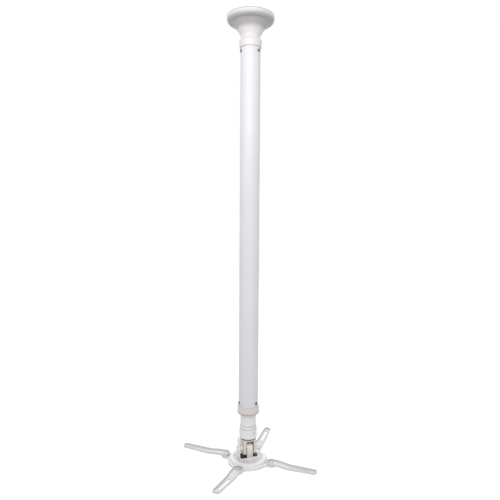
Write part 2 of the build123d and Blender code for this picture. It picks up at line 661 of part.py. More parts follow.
# Folded bracket: a base on the plateau and a tall tab on one side, with an eye for the tilt pin
with BuildPart() as tilt_bracket:
    tab_top = pin_level + TAB_RISE
    fold_top = bracket_top + 2 * BRACKET_BEND
    with BuildSketch(Plane.XZ):
        with Locations((0, plateau_top)):
            Rectangle(2 * tab_outer_face, BRACKET_THICKNESS, align=(Align.CENTER, Align.MIN))
        with Locations((-tab_outer_face, plateau_top)):
            Rectangle(BRACKET_THICKNESS, tab_top - plateau_top, align=(Align.MIN, Align.MIN))
    extrude(amount=BRACKET_LENGTH / 2, both=True)
    folds = tilt_bracket.edges().filter_by(Axis.Y)
    outer_fold = folds.filter_by_position(Axis.Z, plateau_top - 0.1, plateau_top + 0.1).sort_by(Axis.X)[0]
    inner_fold = folds.filter_by_position(Axis.Z, bracket_top - 0.1, bracket_top + 0.1).sort_by(Axis.X)[0]
    fillet(outer_fold, radius=BRACKET_BEND + BRACKET_THICKNESS)
    fillet(inner_fold, radius=BRACKET_BEND)
    with BuildSketch(Plane.YZ) as side_view:
        with Locations((0, plateau_top)):
            Rectangle(BRACKET_LENGTH, fold_top - plateau_top, align=(Align.CENTER, Align.MIN))
            Rectangle(2 * TAB_EYE_RADIUS, pin_level - plateau_top, align=(Align.CENTER, Align.MIN))
        with Locations((0, pin_level)):
            Circle(TAB_EYE_RADIUS)
            Rectangle(TAB_WIDTH, TAB_RISE, align=(Align.CENTER, Align.MIN))
        fillet(side_view.vertices().group_by(Axis.Y)[-1], radius=TAB_ROUND)
    extrude(amount=tab_outer_face, both=True, mode=Mode.INTERSECT)
    with Locations(Location((0, 0, pin_level), (0, 90, 0))):
        Cylinder(tilt_bolt_radius + TURN_GAP, 4 * tab_outer_face, mode=Mode.SUBTRACT)
    with BuildSketch(Plane.XY.offset(plateau_top)):
        with Locations(*tang_screw_places):
            Circle(TANG_SCREW_DIAMETER / 2 + SCREW_GAP)
    extrude(amount=BRACKET_THICKNESS, mode=Mode.SUBTRACT)
tilt_bracket.part.label = "tilt_bracket"
export_step(tilt_bracket.part, "parts/tilt_bracket.step")

# Tilt pin: a low round head on the tab, a spacer from the tab to the ear, and a cap past the other ear
with BuildPart() as tilt_bolt:
    with BuildSketch(Plane.YZ.offset(-tab_outer_face)):
        with Locations((0, pin_level)):
            Circle(TILT_HEAD_DIAMETER / 2)
    extrude(amount=-TILT_HEAD_HEIGHT)
    fillet(tilt_bolt.edges().sort_by(Axis.X)[0], radius=TILT_HEAD_HEIGHT * 0.8)
    with BuildSketch(Plane.YZ.offset(-tab_outer_face)):
        with Locations((0, pin_level)):
            Circle(tilt_bolt_radius)
    extrude(amount=tab_outer_face + cap_face + TILT_HEAD_HEIGHT - TILT_CAP_FLOOR)
tilt_bolt.part.label = "tilt_bolt"
export_step(tilt_bolt.part, "parts/tilt_bolt.step")

with BuildPart() as tilt_spacer:
    with BuildSketch(Plane.YZ.offset(-tab_inner_face)):
        with Locations((0, pin_level)):
            Circle(SPACER_DIAMETER / 2)
            Circle(tilt_bolt_radius + TURN_GAP, mode=Mode.SUBTRACT)
    extrude(amount=TAB_STANDOFF - SCREW_GAP)
tilt_spacer.part.label = "tilt_spacer"
export_step(tilt_spacer.part, "parts/tilt_spacer.step")

with BuildPart() as tilt_cap:
    with BuildSketch(Plane.YZ.offset(cap_face)):
        with Locations((0, pin_level)):
            Circle(TILT_HEAD_DIAMETER / 2)
    extrude(amount=TILT_HEAD_HEIGHT)
    fillet(tilt_cap.edges().sort_by(Axis.X)[-1], radius=TILT_HEAD_HEIGHT * 0.8)
    with BuildSketch(Plane.YZ.offset(cap_face)):
        with Locations((0, pin_level)):
            Circle(tilt_bolt_radius)
    extrude(amount=TILT_HEAD_HEIGHT - TILT_CAP_FLOOR, mode=Mode.SUBTRACT)
tilt_cap.part.label = "tilt_cap"
export_step(tilt_cap.part, "parts/tilt_cap.step")


def on_circle(radius, angle):
    """The point at an angle on a circle about the mast's axis."""
    return (radius * cos(radians(angle)), radius * sin(radians(angle)))


pivot_places = {name: on_circle(PIVOT_RADIUS, angle) for name, (angle, swing) in ARMS.items()}


def plate_lobe(inset, angle):
    """A disc about the mast, joined to the lobe about one pivot by hollow sides, drawn in by inset all round."""
    pivot = on_circle(PIVOT_RADIUS, angle)
    hollow_reach = PLATE_RADIUS + LOBE_BLEND
    hollow_gap = lobe_radius + LOBE_BLEND
    turn_cosine = (hollow_reach**2 + PIVOT_RADIUS**2 - hollow_gap**2) / (2 * hollow_reach * PIVOT_RADIUS)
    turn = degrees(acos(turn_cosine))
    hollows = [on_circle(hollow_reach, angle + turn), on_circle(hollow_reach, angle - turn)]
    with BuildSketch() as lobe:
        with BuildLine():
            Polyline((0, 0), hollows[1], pivot, hollows[0], close=True)
        make_face()
        with Locations(*hollows):
            Circle(LOBE_BLEND + inset, mode=Mode.SUBTRACT)
        Circle(PLATE_RADIUS - inset)
        with Locations(pivot):
            Circle(lobe_radius - inset)
    return lobe.sketch


def plate_plan(inset):
    """The base plate's plan, drawn in by inset all round."""
    with BuildSketch() as plan:
        for angle, swing in ARMS.values():
            add(plate_lobe(inset, angle))
    return plan.sketch


# Base plate: pressed up in the middle, with a skirt, a lobe under each arm and a ring of short ribs
with BuildPart() as base_plate:
    with BuildSketch(Plane.XY.offset(skirt_bottom)):
        add(plate_plan(0))
    extrude(amount=SKIRT_HEIGHT)
    fillet(base_plate.faces().sort_by(Axis.Z)[-1].edges(), radius=PLATE_EDGE_ROUND)
    with BuildSketch(Plane.XZ):
        with BuildLine():
            foot_radius = PLATEAU_RADIUS + PLATEAU_SLOPE
            Polyline(
                (0, skirt_bottom),
                (foot_radius, skirt_bottom),
                (foot_radius, lobe_top),
                (PLATEAU_RADIUS, plateau_top),
                (0, plateau_top),
                close=True,
            )
        make_face()
    revolve(axis=Axis.Z)
    rims = base_plate.edges().filter_by(GeomType.CIRCLE)
    fillet(rims.filter_by(lambda edge: abs(edge.radius - PLATEAU_RADIUS) < 0.01), radius=PLATEAU_EDGE_ROUND)
    with BuildSketch(Plane.XY.offset(skirt_bottom)):
        add(plate_plan(SKIRT_WALL))
    extrude(amount=lobe_bottom - skirt_bottom, mode=Mode.SUBTRACT)
    with BuildSketch(Plane.XY.offset(skirt_bottom)):
        Circle(PLATEAU_RADIUS - SKIRT_WALL)
    extrude(amount=plateau_bottom - skirt_bottom, mode=Mode.SUBTRACT)
    with BuildSketch(Plane.XY.offset(plateau_top)):
        rib_middle = (RIB_INNER_RADIUS + RIB_OUTER_RADIUS) / 2
        with PolarLocations(rib_middle, RIB_COUNT):
            SlotOverall(RIB_OUTER_RADIUS - RIB_INNER_RADIUS, RIB_WIDTH)
    extrude(amount=RIB_HEIGHT)
    with BuildSketch(Plane.XY.offset(lobe_bottom)):
        with Locations(*pivot_places.values()):
            Circle(PIVOT_SCREW_DIAMETER / 2 + SCREW_GAP)
    extrude(amount=PLATE_THICKNESS, mode=Mode.SUBTRACT)
    with BuildSketch(Plane.XY.offset(plateau_bottom)):
        with Locations(*tang_screw_places):
            Circle(TANG_SCREW_DIAMETER / 2 + SCREW_GAP)
    extrude(amount=PLATE_THICKNESS, mode=Mode.SUBTRACT)
base_plate.part.label = "base_plate"
export_step(base_plate.part, "parts/base_plate.step")

# Pivot screws with a washer under each arm and a nut under each lobe
pivot_screw = button_screw(
    PIVOT_SCREW_DIAMETER,
    pivot_head_bottom - lobe_bottom + PIVOT_NUT_HEIGHT + PIVOT_SCREW_END,
    PIVOT_HEAD_DIAMETER,
    PIVOT_HEAD_HEIGHT,
    PIVOT_SOCKET_WIDTH,
    PIVOT_SOCKET_DEPTH,
)
with BuildPart() as pivot_screws:
    with Locations(*[(x, y, pivot_head_bottom) for x, y in pivot_places.values()]):
        add(pivot_screw)
pivot_screws.part.label = "pivot_screws"
export_step(pivot_screws.part, "parts/pivot_screws.step")

with BuildPart() as pivot_washers:
    with BuildSketch(Plane.XY.offset(lobe_top)):
        with Locations(*pivot_places.values()):
            Circle(PIVOT_WASHER_DIAMETER / 2)
            Circle(PIVOT_SCREW_DIAMETER / 2 + SCREW_GAP, mode=Mode.SUBTRACT)
    extrude(amount=PIVOT_WASHER_THICKNESS)
pivot_washers.part.label = "pivot_washers"
export_step(pivot_washers.part, "parts/pivot_washers.step")

with BuildPart() as pivot_nuts:
    with BuildSketch(Plane.XY.offset(lobe_bottom)):
        with Locations(*pivot_places.values()):
            RegularPolygon(PIVOT_NUT_WIDTH / 2, 6, major_radius=False)
            Circle(PIVOT_SCREW_DIAMETER / 2, mode=Mode.SUBTRACT)
    extrude(amount=-PIVOT_NUT_HEIGHT)
pivot_nuts.part.label = "pivot_nuts"
export_step(pivot_nuts.part, "parts/pivot_nuts.step")

# Arm along +X from its pivot at the origin, with the underside of its web at the pivot at z = 0
arm_bend_end = ARM_BEND_START + ARM_BEND_LENGTH
root_round = ARM_WIDTH / 2
outer_run = Vector(ARM_REACH - arm_bend_end, 0, ARM_TIP_RISE)
web_normal = outer_run.cross(Vector(0, 1, 0))
outer_web = Plane(origin=(arm_bend_end, 0, -ARM_DROP), x_dir=outer_run, z_dir=web_normal)


def arm_plan(inset):
    """The arm's plan, a tapered bar with a round root and a blunt tip, drawn in by inset all round."""
    tip_corner = ARM_TIP_WIDTH / 2 - ARM_TIP_ROUND
    with BuildSketch() as plan:
        with Locations((root_round - ARM_ROOT, 0)):
            Circle(root_round - inset)
        with Locations((ARM_REACH - ARM_TIP_ROUND, tip_corner), (ARM_REACH - ARM_TIP_ROUND, -tip_corner)):
            Circle(ARM_TIP_ROUND - inset)
        make_hull()
    return plan.sketch


def arm_bar(inset, floor, ceiling):
    """The space between two heights above the arm's underside, which dips at the bend and rises to the tip."""
    tip_level = ARM_TIP_RISE - ARM_DROP
    with BuildPart() as bar:
        with BuildSketch(Plane.XZ) as side:
            with BuildLine():
                Polyline(
                    (-ARM_ROOT, floor),
                    (ARM_BEND_START, floor),
                    (arm_bend_end, floor - ARM_DROP),
                    (ARM_REACH, floor + tip_level),
                    (ARM_REACH, ceiling + tip_level),
                    (arm_bend_end, ceiling - ARM_DROP),
                    (ARM_BEND_START, ceiling),
                    (-ARM_ROOT, ceiling),
                    close=True,
                )
            make_face()
            bends = side.vertices().filter_by_position(Axis.X, ARM_BEND_START - 1, arm_bend_end + 1)
            fillet(bends, radius=ARM_BEND_ROUND)
        extrude(amount=ARM_WIDTH, both=True)
        with BuildSketch(Plane.XY.offset(-ARM_DROP)):
            add(arm_plan(inset))
        extrude(amount=ceiling + ARM_TIP_RISE + ARM_DROP, mode=Mode.INTERSECT)
    return bar.part


def outline(faces):
    """The edges around a run of faces, without those between two of them."""
    edges = [edge for face in faces for edge in face.edges()]
    return [edge for edge in edges if edges.count(edge) == 1]


arm_core = arm_bar(ARM_WALL, ARM_WALL, 2 * ARM_HEIGHT)
with BuildPart() as arm:
    add(arm_bar(0, 0, ARM_HEIGHT))
    fillet(outline(arm.faces().filter_by(lambda face: face.normal_at().Z < -0.9)), radius=ARM_EDGE_ROUND)
    fillet(outline(arm.faces().filter_by(lambda face: face.normal_at().Z > 0.9)), radius=ARM_RIM_ROUND)
    add(arm_core, mode=Mode.SUBTRACT)
    with BuildSketch(Plane.XY):
        Circle(PIVOT_SCREW_DIAMETER / 2 + TURN_GAP)
    extrude(amount=ARM_HEIGHT, both=True, mode=Mode.SUBTRACT)
    with BuildSketch(outer_web):
        with Locations(((SLOT_START + SLOT_END) / 2 - arm_bend_end, 0)):
            SlotOverall(SLOT_END - SLOT_START, SLOT_WIDTH)
    extrude(amount=ARM_HEIGHT, both=True, mode=Mode.SUBTRACT)

for name, (angle, swing) in ARMS.items():
    with BuildPart() as placed_arm:
        x, y = pivot_places[name]
        with Locations(Location((x, y, arm_bottom), (0, 0, angle + swing))):
            add(arm.part)
    placed_arm.part.label = name
    export_step(placed_arm.part, f"parts/{name}.step")
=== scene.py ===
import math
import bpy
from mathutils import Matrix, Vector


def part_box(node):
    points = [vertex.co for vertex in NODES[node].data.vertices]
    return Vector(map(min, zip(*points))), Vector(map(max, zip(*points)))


bl_info = {
    "name": "Projector Ceiling Mount",
    "version": (1, 1, 0),
    "blender": (4, 5, 0),
    "location": "View3D > Sidebar > Ceiling Mount",
    "description": "Finishes and a plain studio for a telescopic projector ceiling mount",
    "category": "Object",
}

import bmesh
import bpy
from bpy.props import FloatProperty, FloatVectorProperty, PointerProperty
from bpy.types import Operator, Panel, PropertyGroup
from mathutils import Matrix, Vector

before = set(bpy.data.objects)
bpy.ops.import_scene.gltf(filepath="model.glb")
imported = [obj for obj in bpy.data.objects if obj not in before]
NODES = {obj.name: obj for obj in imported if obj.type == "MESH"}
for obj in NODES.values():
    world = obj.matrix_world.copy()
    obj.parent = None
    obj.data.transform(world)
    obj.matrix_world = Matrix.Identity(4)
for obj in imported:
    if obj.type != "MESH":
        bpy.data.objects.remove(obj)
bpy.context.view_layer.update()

# Which pieces take which finish
TUBE_NODES = ("ceiling_plate", "stub_tube", "outer_tube")
SWIVEL_NODES = ("inner_tube", "stop_ring", "swivel_cup")
BRACKET_NODES = ("tilt_bracket", "tilt_bolt", "tilt_cap")
PLATE_NODES = ("base_plate",)
ARM_NODES = ("arm_front_left", "arm_front_right", "arm_rear_left", "arm_rear_right")
CANOPY_NODES = ("canopy_cover",)
TOP_COLLAR_NODES = ("top_collar",)
BOTTOM_COLLAR_NODES = ("bottom_collar",)
EAR_NODES = ("hinge_clevis",)
SPACER_NODES = ("tilt_spacer",)
TANG_NODES = ("hinge_tang",)
ZINC_NODES = (
    "cup_screws", "end_plug", "swivel_bolt", "clevis_screws", "tang_screws", "pivot_screws", "pivot_washers",
    "pivot_nuts",
)
SCREW_NODES = ("top_screws", "bottom_screws")
RUBBER_NODES = ("swivel_washer", "hinge_washers", "hinge_pads")
NYLON_NODES = ("glide_ring",)

# Dust and painted shade in corners and joints, darker where they are more enclosed: how far it reaches, in
# metres, and how strongly it shows
MAST_DUST_AND_SHADE = {"Reach": 0.003, "Amount": 1.0}
BRACKET_DUST_AND_SHADE = {"Reach": 0.004, "Amount": 0.5}
PLATE_DUST_AND_SHADE = {"Reach": 0.005, "Amount": 0.6}
ARM_DUST_AND_SHADE = {"Reach": 0.007, "Amount": 1.0}
PLASTIC_DUST_AND_SHADE = {"Reach": 0.004, "Amount": 0.6}
METAL_DUST_AND_SHADE = {"Reach": 0.002, "Amount": 0.4}

# Tinted bands on the canopy and the collars, the canopy's being painted shade under its lip and a painted
# shadow line at its rim: depths from the piece's end, and soft edges, in metres
RIM_SHADOW_DEPTH = 0.0012
RIM_SHADOW_SOFT = 0.0008
UNDERSIDE_SHADE_START = 0.0125
UNDERSIDE_SHADE_END = 0.027
UNDERSIDE_SHADE_SOFT = 0.009
TOP_RING_DEPTH = 0.001
TOP_RING_SOFT = 0.003
BOTTOM_RING_DEPTH = 0.003
BOTTOM_RING_SOFT = 0.005

# Speckled ring on the plate's top face, and lines of grime at the joints of the mast, in metres
SPECKLE_SOFT = 0.002
FACE_HALF_DEPTH = 0.0008
FACE_SOFT = 0.0004
GRIME_HALF_WIDTH = 0.0005
GRIME_SOFT = 0.0007

# Rubbed edges of the powder coat: their width in metres, and by how much they are smoother
RUB_WIDTH = 0.0006
RUB_POLISH = 0.1

# Heights of the fine relief of skins and of polishing lines, in metres
SKIN_RELIEF = 0.0002
LINE_RELIEF = 0.0001

# How often polishing lines change along X, Y and Z, per metre
UPRIGHT_LINES = (2500.0, 2500.0, 60.0)
EVEN_LINES = (900.0, 900.0, 900.0)

# Spans of a noise's value that are stretched into a mask, and the span of a whole mask, rising and falling
WIDE_SPAN = (0.3, 0.7)
MIDDLE_SPAN = (0.35, 0.65)
RISING = (0.0, 1.0)
FALLING = (1.0, 0.0)

# Kinds of group sockets, and the places of the Mix node's colour sockets, which share their names with others
VALUE = "NodeSocketFloat"
VECTOR = "NodeSocketVector"
MIX_FIRST = 6
MIX_SECOND = 7
MIX_RESULT = 2

# Shader values that are the same all over
PLASTIC_IOR = 1.5
FLOOR_ROUGHNESS = 0.9
WHITE = (1.0, 1.0, 1.0, 1.0)

# Floor: half its width in metres, and its mesh cells per side
FLOOR_HALF_WIDTH = 14.0
FLOOR_CELLS = 8

# Camera: near and far ends of the view in metres, and the sensor's width in millimetres
VIEW_START = 0.01
VIEW_END = 100.0
SENSOR_WIDTH = 36.0


# Settings

class FinishSettings(PropertyGroup):
    """Colours and surface qualities of the mount's finishes."""

    tube_colour: FloatVectorProperty(
        name="Tube colour", description="Cool white powder coat of the outer tube and what it hangs on",
        subtype="COLOR", size=3, min=0.0, max=1.0, default=(0.83, 0.826, 0.85),
    )
    swivel_colour: FloatVectorProperty(
        name="Swivel colour", description="Fresh white coat of the inner tube, its ring and the cup",
        subtype="COLOR", size=3, min=0.0, max=1.0, default=(0.925, 0.92, 0.93),
    )
    base_colour: FloatVectorProperty(
        name="Base colour", description="White coat of the bracket, the hinge pin and the base plate",
        subtype="COLOR", size=3, min=0.0, max=1.0, default=(0.90, 0.90, 0.92),
    )
    arm_colour: FloatVectorProperty(
        name="Arm colour", description="White coat of the arms, a little greyer",
        subtype="COLOR", size=3, min=0.0, max=1.0, default=(0.79, 0.79, 0.81),
    )
    # Dust and painted shade: the colour that the coat's corners and joints are darkened towards
    coat_dust_and_shade_colour: FloatVectorProperty(
        name="Coat dust colour", description="Grey dust in the corners of the powder coat",
        subtype="COLOR", size=3, min=0.0, max=1.0, default=(0.34, 0.33, 0.33),
    )
    coat_roughness: FloatProperty(
        name="Coat roughness", description="Roughness of the powder coat",
        subtype="FACTOR", min=0.0, max=1.0, default=0.42,
    )
    coat_grain: FloatProperty(
        name="Coat grain", description="Grains of the powder coat per metre",
        min=100.0, max=5000.0, default=1100.0,
    )
    speckle_colour: FloatVectorProperty(
        name="Speckle colour", description="Reddish dirt in a ring round the hinge, on the base plate",
        subtype="COLOR", size=3, min=0.0, max=1.0, default=(0.50, 0.39, 0.37),
    )
    speckle_inner: FloatProperty(
        name="Speckle inner radius", description="Inner radius of the speckled ring",
        unit="LENGTH", min=0.0, default=0.022,
    )
    speckle_outer: FloatProperty(
        name="Speckle outer radius", description="Outer radius of the speckled ring",
        unit="LENGTH", min=0.0, default=0.037,
    )
    grime_colour: FloatVectorProperty(
        name="Grime colour", description="Brownish grey line in the joints of the mast",
        subtype="COLOR", size=3, min=0.0, max=1.0, default=(0.40, 0.36, 0.36),
    )
    canopy_colour: FloatVectorProperty(
        name="Canopy colour", description="Warm white plastic of the canopy and the upper collar",
        subtype="COLOR", size=3, min=0.0, max=1.0, default=(0.84, 0.815, 0.82),
    )
    # Painted shade: the darker band on the canopy's underside behind its lip
    canopy_painted_shade_colour: FloatVectorProperty(
        name="Canopy shade colour", description="Dusty underside of the canopy behind its lip",
        subtype="COLOR", size=3, min=0.0, max=1.0, default=(0.48, 0.465, 0.47),
    )
    # Painted shadow: the thin dark line where the canopy's rim would meet the ceiling
    rim_shadow_colour: FloatVectorProperty(
        name="Rim line colour", description="Dust line where the canopy's rim meets the ceiling",
        subtype="COLOR", size=3, min=0.0, max=1.0, default=(0.48, 0.47, 0.47),
    )
    collar_colour: FloatVectorProperty(
        name="Collar colour", description="Ivory plastic of the lower collar and of the upper collar's end",
        subtype="COLOR", size=3, min=0.0, max=1.0, default=(0.78, 0.75, 0.735),
    )
    collar_end_colour: FloatVectorProperty(
        name="Collar end colour", description="Pinkish tone of the lower collar's rounded end",
        subtype="COLOR", size=3, min=0.0, max=1.0, default=(0.62, 0.51, 0.50),
    )
    # Dust and painted shade: the colour that the plastic's corners and joints are darkened towards
    plastic_dust_and_shade_colour: FloatVectorProperty(
        name="Plastic dust colour", description="Warm grey dust in the corners of the plastic",
        subtype="COLOR", size=3, min=0.0, max=1.0, default=(0.27, 0.26, 0.25),
    )
    plastic_roughness: FloatProperty(
        name="Plastic roughness", description="Roughness of the moulded plastic",
        subtype="FACTOR", min=0.0, max=1.0, default=0.30,
    )
    plastic_grain: FloatProperty(
        name="Plastic grain", description="Flow marks of the moulded plastic per metre",
        min=50.0, max=5000.0, default=260.0,
    )
    ear_colour: FloatVectorProperty(
        name="Ear colour", description="Nickel plating of the hinge's fork",
        subtype="COLOR", size=3, min=0.0, max=1.0, default=(0.76, 0.72, 0.675),
    )
    # Painted light: a paler copy of the ear's nickel, so that the spacer, in the shade between the tab and
    # the ear, looks lit
    spacer_painted_light_colour: FloatVectorProperty(
        name="Spacer colour", description="Paler nickel plating of the spacer on the hinge pin",
        subtype="COLOR", size=3, min=0.0, max=1.0, default=(0.93, 0.89, 0.84),
    )
    tang_colour: FloatVectorProperty(
        name="Tang colour", description="Brighter nickel plating of the hinge's tongue",
        subtype="COLOR", size=3, min=0.0, max=1.0, default=(0.76, 0.735, 0.70),
    )
    zinc_colour: FloatVectorProperty(
        name="Zinc colour", description="Plating of the plug, the swivel bolt and the smaller fasteners",
        subtype="COLOR", size=3, min=0.0, max=1.0, default=(0.70, 0.70, 0.71),
    )
    screw_colour: FloatVectorProperty(
        name="Screw colour", description="Darkened steel of the tube screws",
        subtype="COLOR", size=3, min=0.0, max=1.0, default=(0.17, 0.17, 0.175),
    )
    rubber_colour: FloatVectorProperty(
        name="Rubber colour", description="Black of the washers, the pads and the nylon glide",
        subtype="COLOR", size=3, min=0.0, max=1.0, default=(0.012, 0.012, 0.013),
    )
    rubber_dust_colour: FloatVectorProperty(
        name="Rubber dust colour", description="Dark grey specks of dust on the rubber",
        subtype="COLOR", size=3, min=0.0, max=1.0, default=(0.09, 0.09, 0.09),
    )


class StudioSettings(PropertyGroup):
    """Camera, floor, lamps and sky."""

    camera_turn: FloatProperty(
        name="Camera turn", description="Direction of the camera about the mast",
        subtype="ANGLE", default=math.radians(-23.0),
    )
    camera_distance: FloatProperty(
        name="Camera distance", description="Level distance from the mast to the camera",
        unit="LENGTH", default=1.2162,
    )
    camera_height: FloatProperty(
        name="Camera height", description="Height of the camera from the ceiling",
        unit="LENGTH", default=-0.5188,
    )
    camera_pitch: FloatProperty(
        name="Camera pitch", description="Slope of the view below level",
        subtype="ANGLE", default=math.radians(2.77),
    )
    camera_yaw: FloatProperty(
        name="Camera yaw", description="Turn of the view from the mast's axis",
        subtype="ANGLE", default=math.radians(0.09),
    )
    camera_roll: FloatProperty(
        name="Camera roll", description="Lean of the view",
        subtype="ANGLE", default=math.radians(0.37),
    )
    camera_lens: FloatProperty(
        name="Focal length", description="Focal length on a 36 mm sensor",
        unit="CAMERA", default=34.58,
    )
    floor_height: FloatProperty(
        name="Floor height", description="Height of the floor from the ceiling",
        unit="LENGTH", default=-2.4,
    )
    floor_colour: FloatVectorProperty(
        name="Floor colour", description="Pale grey of the floor",
        subtype="COLOR", size=3, min=0.0, max=1.0, default=(0.54, 0.54, 0.54),
    )
    floor_patch_colour: FloatVectorProperty(
        name="Floor patch colour", description="Slightly paler patches of the floor",
        subtype="COLOR", size=3, min=0.0, max=1.0, default=(0.57, 0.57, 0.57),
    )
    floor_glow: FloatProperty(
        name="Floor glow", description="Light that tops the floor up to white where it is seen",
        min=0.0, default=0.72,
    )
    lamp_colour: FloatVectorProperty(
        name="Lamp colour", description="Nearly white light of the lamps",
        subtype="COLOR", size=3, min=0.0, max=1.0, default=(1.0, 0.995, 0.99),
    )
    key_place: FloatVectorProperty(
        name="Key place", description="Place of the key lamp, in front of the canopy and to its left",
        subtype="TRANSLATION", unit="LENGTH", size=3, default=(-0.36, -0.58, -0.03),
    )
    key_aim: FloatProperty(
        name="Key aim", description="Height on the mast that the key lamp faces",
        unit="LENGTH", default=-0.03,
    )
    key_size: FloatVectorProperty(
        name="Key size", description="Width and height of the key lamp",
        unit="LENGTH", size=2, min=0.0, default=(0.75, 0.3),
    )
    key_power: FloatProperty(
        name="Key lamp", description="Power of the lamp in front of the canopy",
        unit="POWER", min=0.0, default=2.75,
    )
    fill_place: FloatVectorProperty(
        name="Fill place", description="Place of the fill lamp, in front of the hinge",
        subtype="TRANSLATION", unit="LENGTH", size=3, default=(-0.15, -0.85, -0.8),
    )
    fill_aim: FloatProperty(
        name="Fill aim", description="Height on the mast that the fill lamp faces",
        unit="LENGTH", default=-1.1,
    )
    fill_size: FloatVectorProperty(
        name="Fill size", description="Width and height of the fill lamp",
        unit="LENGTH", size=2, min=0.0, default=(0.5, 0.5),
    )
    fill_power: FloatProperty(
        name="Fill lamp", description="Power of the low lamp in front of the hinge",
        unit="POWER", min=0.0, default=1.0,
    )
    back_place: FloatVectorProperty(
        name="Back place", description="Place of the back lamp, above and behind the arms",
        subtype="TRANSLATION", unit="LENGTH", size=3, default=(0.2, 0.5, -0.5),
    )
    back_aim: FloatProperty(
        name="Back aim", description="Height on the mast that the back lamp faces",
        unit="LENGTH", default=-1.12,
    )
    back_size: FloatVectorProperty(
        name="Back size", description="Width and height of the back lamp",
        unit="LENGTH", size=2, min=0.0, default=(0.4, 0.4),
    )
    back_power: FloatProperty(
        name="Back lamp", description="Power of the lamp above and behind the arms",
        unit="POWER", min=0.0, default=1.3,
    )
    sky_colour: FloatVectorProperty(
        name="Sky colour", description="Slightly cool colour of the soft light",
        subtype="COLOR", size=3, min=0.0, max=1.0, default=(0.985, 0.985, 1.0),
    )
    sky_strength: FloatProperty(
        name="Sky", description="Strength of the soft light from all round",
        min=0.0, default=0.73,
    )
    sky_lean: FloatProperty(
        name="Sky lean", description="Share by which the soft light is stronger from the left",
        subtype="FACTOR", min=0.0, max=1.0, default=0.11,
    )


# Shader nodes

def feed(tree, socket, value):
    """Sets a socket to a plain value, or links it to another socket."""
    if isinstance(value, (int, float, tuple)):
        socket.default_value = value
    else:
        tree.links.new(value, socket)


def math_node(tree, operation, first, second, clamp=False):
    """A Math node. Returns its output."""
    node = tree.nodes.new("ShaderNodeMath")
    node.operation = operation
    node.use_clamp = clamp
    feed(tree, node.inputs[0], first)
    feed(tree, node.inputs[1], second)
    return node.outputs[0]


def blend_node(tree, mask, first, second):
    """A colour Mix node. Returns its output."""
    node = tree.nodes.new("ShaderNodeMix")
    node.data_type = "RGBA"
    feed(tree, node.inputs["Factor"], mask)
    feed(tree, node.inputs[MIX_FIRST], first)
    feed(tree, node.inputs[MIX_SECOND], second)
    return node.outputs[MIX_RESULT]


def range_node(tree, value, span, result=RISING):
    """A Map Range node from one span of values to another. Returns its output."""
    node = tree.nodes.new("ShaderNodeMapRange")
    feed(tree, node.inputs["Value"], value)
    for label, limit in zip(("From Min", "From Max", "To Min", "To Max"), (*span, *result)):
        feed(tree, node.inputs[label], limit)
    return node.outputs["Result"]


def noise_node(tree, vector, scale, detail, roughness=0.5):
    """A Noise Texture node. Returns its value output."""
    node = tree.nodes.new("ShaderNodeTexNoise")
    feed(tree, node.inputs["Vector"], vector)
    feed(tree, node.inputs["Scale"], scale)
    feed(tree, node.inputs["Detail"], detail)
    feed(tree, node.inputs["Roughness"], roughness)
    return node.outputs["Fac"]


def shade(colour, factor=1.0):
    """A colour made darker or lighter, with alpha."""
    return tuple(min(1.0, part * factor) for part in colour) + (1.0,)


def spread(middle, below, above):
    """The span from a little below a value to a little above it."""
    return middle - below, middle + above


# Shader node groups

def new_group(name, inputs, outputs):
    """A shader node group with named sockets, and its input and output nodes."""
    group = bpy.data.node_groups.new(name, "ShaderNodeTree")
    for label, kind, value in inputs:
        socket = group.interface.new_socket(name=label, in_out="INPUT", socket_type=kind)
        if value is not None:
            socket.default_value = value
    for label in outputs:
        group.interface.new_socket(name=label, in_out="OUTPUT", socket_type=VALUE)
    return group, group.nodes.new("NodeGroupInput"), group.nodes.new("NodeGroupOutput")


def orange_peel_group():
    """Fine waviness of a sprayed or moulded skin, a slow drift of its tone and rare specks."""
    group, inside, outside = new_group(
        "Orange Peel",
        inputs=[("Vector", VECTOR, None), ("Grain", VALUE, 1000.0)],
        outputs=["Height", "Drift", "Speck"],
    )
    vector = inside.outputs["Vector"]
    fine = noise_node(group, vector, scale=inside.outputs["Grain"], detail=2.0)
    slow = noise_node(group, vector, scale=9.0, detail=3.0)
    speck = noise_node(group, vector, scale=420.0, detail=1.0)
    rare = (0.66, 0.74)
    group.links.new(fine, outside.inputs["Height"])
    group.links.new(range_node(group, slow, WIDE_SPAN), outside.inputs["Drift"])
    group.links.new(range_node(group, speck, rare), outside.inputs["Speck"])
    return group


def crevice_dust_and_shade_group():
    """Mask of dust and painted shade in corners and joints, darker where they are more enclosed, broken up by
    noise.
    """
    group, inside, outside = new_group(
        "Crevice Dust And Shade",
        inputs=[("Vector", VECTOR, None), ("Reach", VALUE, 0.004), ("Amount", VALUE, 0.5)],
        outputs=["Mask"],
    )
    falloff = 1.4
    thinnest = 0.6
    # Painted shade as well as dust: occlusion darkens the corners and joints where shade falls
    hollow = group.nodes.new("ShaderNodeAmbientOcclusion")
    hollow.samples = 6
    group.links.new(inside.outputs["Reach"], hollow.inputs["Distance"])
    depth = math_node(group, "SUBTRACT", 1.0, hollow.outputs["AO"])
    depth = math_node(group, "POWER", depth, falloff)
    noise = noise_node(group, inside.outputs["Vector"], scale=160.0, detail=3.0)
    patches = range_node(group, noise, WIDE_SPAN, (thinnest, 1.0))
    mask = math_node(group, "MULTIPLY", depth, patches)
    mask = math_node(group, "MULTIPLY", mask, inside.outputs["Amount"], clamp=True)
    group.links.new(mask, outside.inputs["Mask"])
    return group


